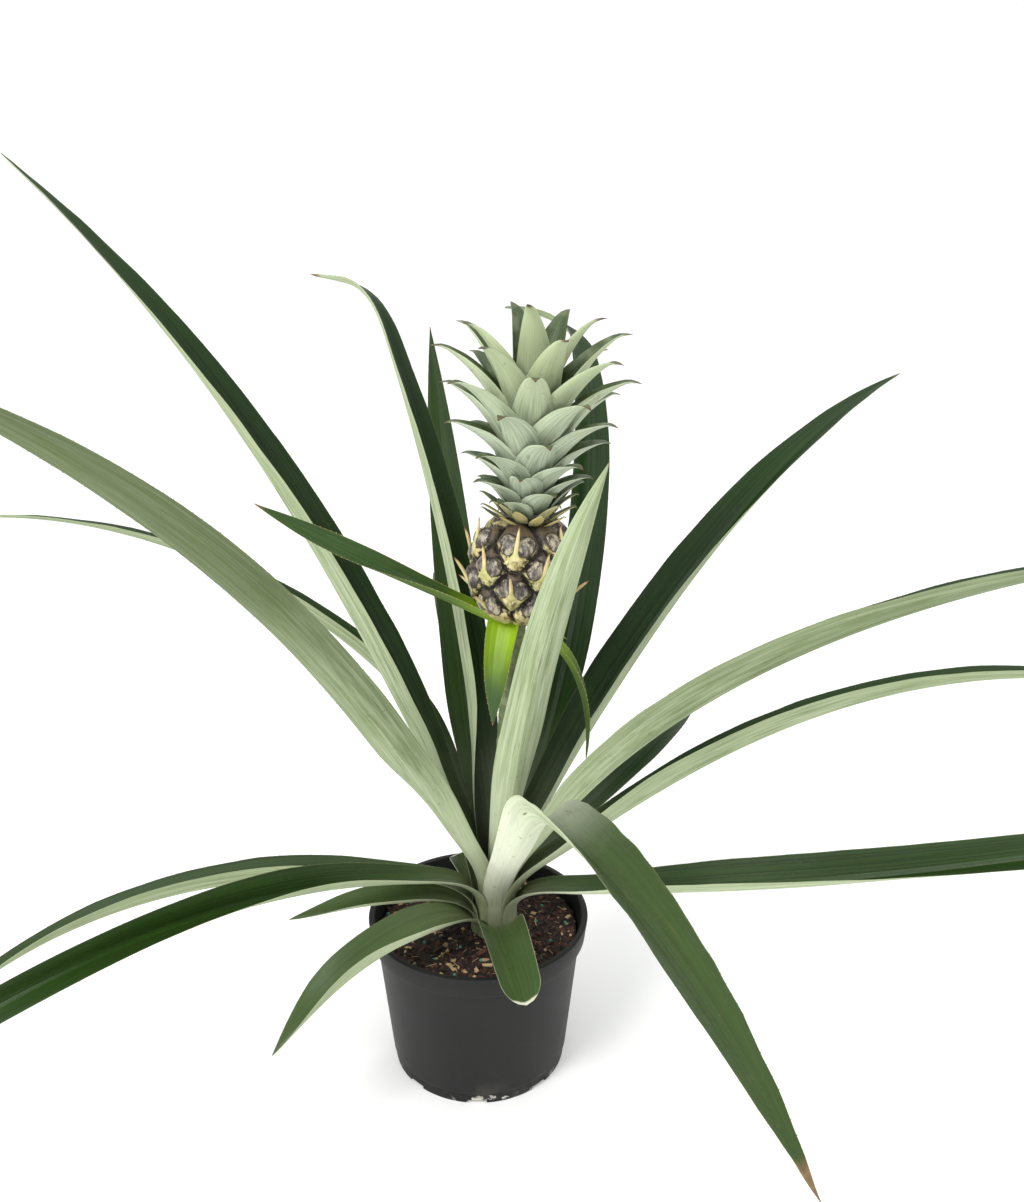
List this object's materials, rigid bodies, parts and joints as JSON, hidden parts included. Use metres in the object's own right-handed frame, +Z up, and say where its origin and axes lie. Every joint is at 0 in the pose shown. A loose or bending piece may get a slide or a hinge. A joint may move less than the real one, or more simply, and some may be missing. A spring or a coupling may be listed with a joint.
{
  "type": "potted pineapple plant",
  "caption": "Potted ornamental pineapple plant: arching channelled leaves round a stalk with a small spiny fruit and its leafy crown, in a tapered plastic pot of soil.",
  "frame": {"origin": "centre of the pot's resting pad, on the surface that the pot stands on", "axes": "+Z up along the pot's axis, +X along the widest spread of the leaves, -Y towards the folded front leaf"},
  "size_m": [0.7959, 0.6277, 0.5232],
  "materials": {
    "pot": "matt black moulded plastic, scuffed white at the foot",
    "soil": "dark moist peat with light fibres",
    "stem": "pale green-brown leaf scars",
    "leaf": "dark green upper face, pale grey-green scurfy underside",
    "stalk": "grey-green, scaly",
    "bract": "yellow-green at the foot, dark green at the tip",
    "fruit": "purple-grey eyes with cream spined scales",
    "crown": "pale grey-green leaves with brown tips"
  },
  "bodies": {
    "root": {"pot": "pot", "soil": "soil", "stem": "stem", "leaf_back_left": "leaf", "leaf_front": "leaf", "leaf_right_tall": "leaf", "leaf_left_tall": "leaf", "leaf_centre_back": "leaf", "leaf_left_broad": "leaf", "leaf_right_back": "leaf", "leaf_right_long": "leaf", "leaf_left_slim": "leaf", "leaf_folded": "leaf", "leaf_right_short": "leaf", "leaf_back_low": "leaf", "leaf_right_arched": "leaf", "leaf_right_level": "leaf", "leaf_low_left": "leaf", "leaf_low_left_back": "leaf", "leaf_cut_back": "leaf", "leaf_stub_left": "leaf", "leaf_stub_front_left": "leaf", "leaf_trimmed_front": "leaf", "stalk": "stalk", "bract_left_long": "bract", "bract_front": "bract", "bract_right": "bract", "bract_right_small": "bract", "fruit": "fruit", "crown": "crown"}
  },
  "joints": []
}
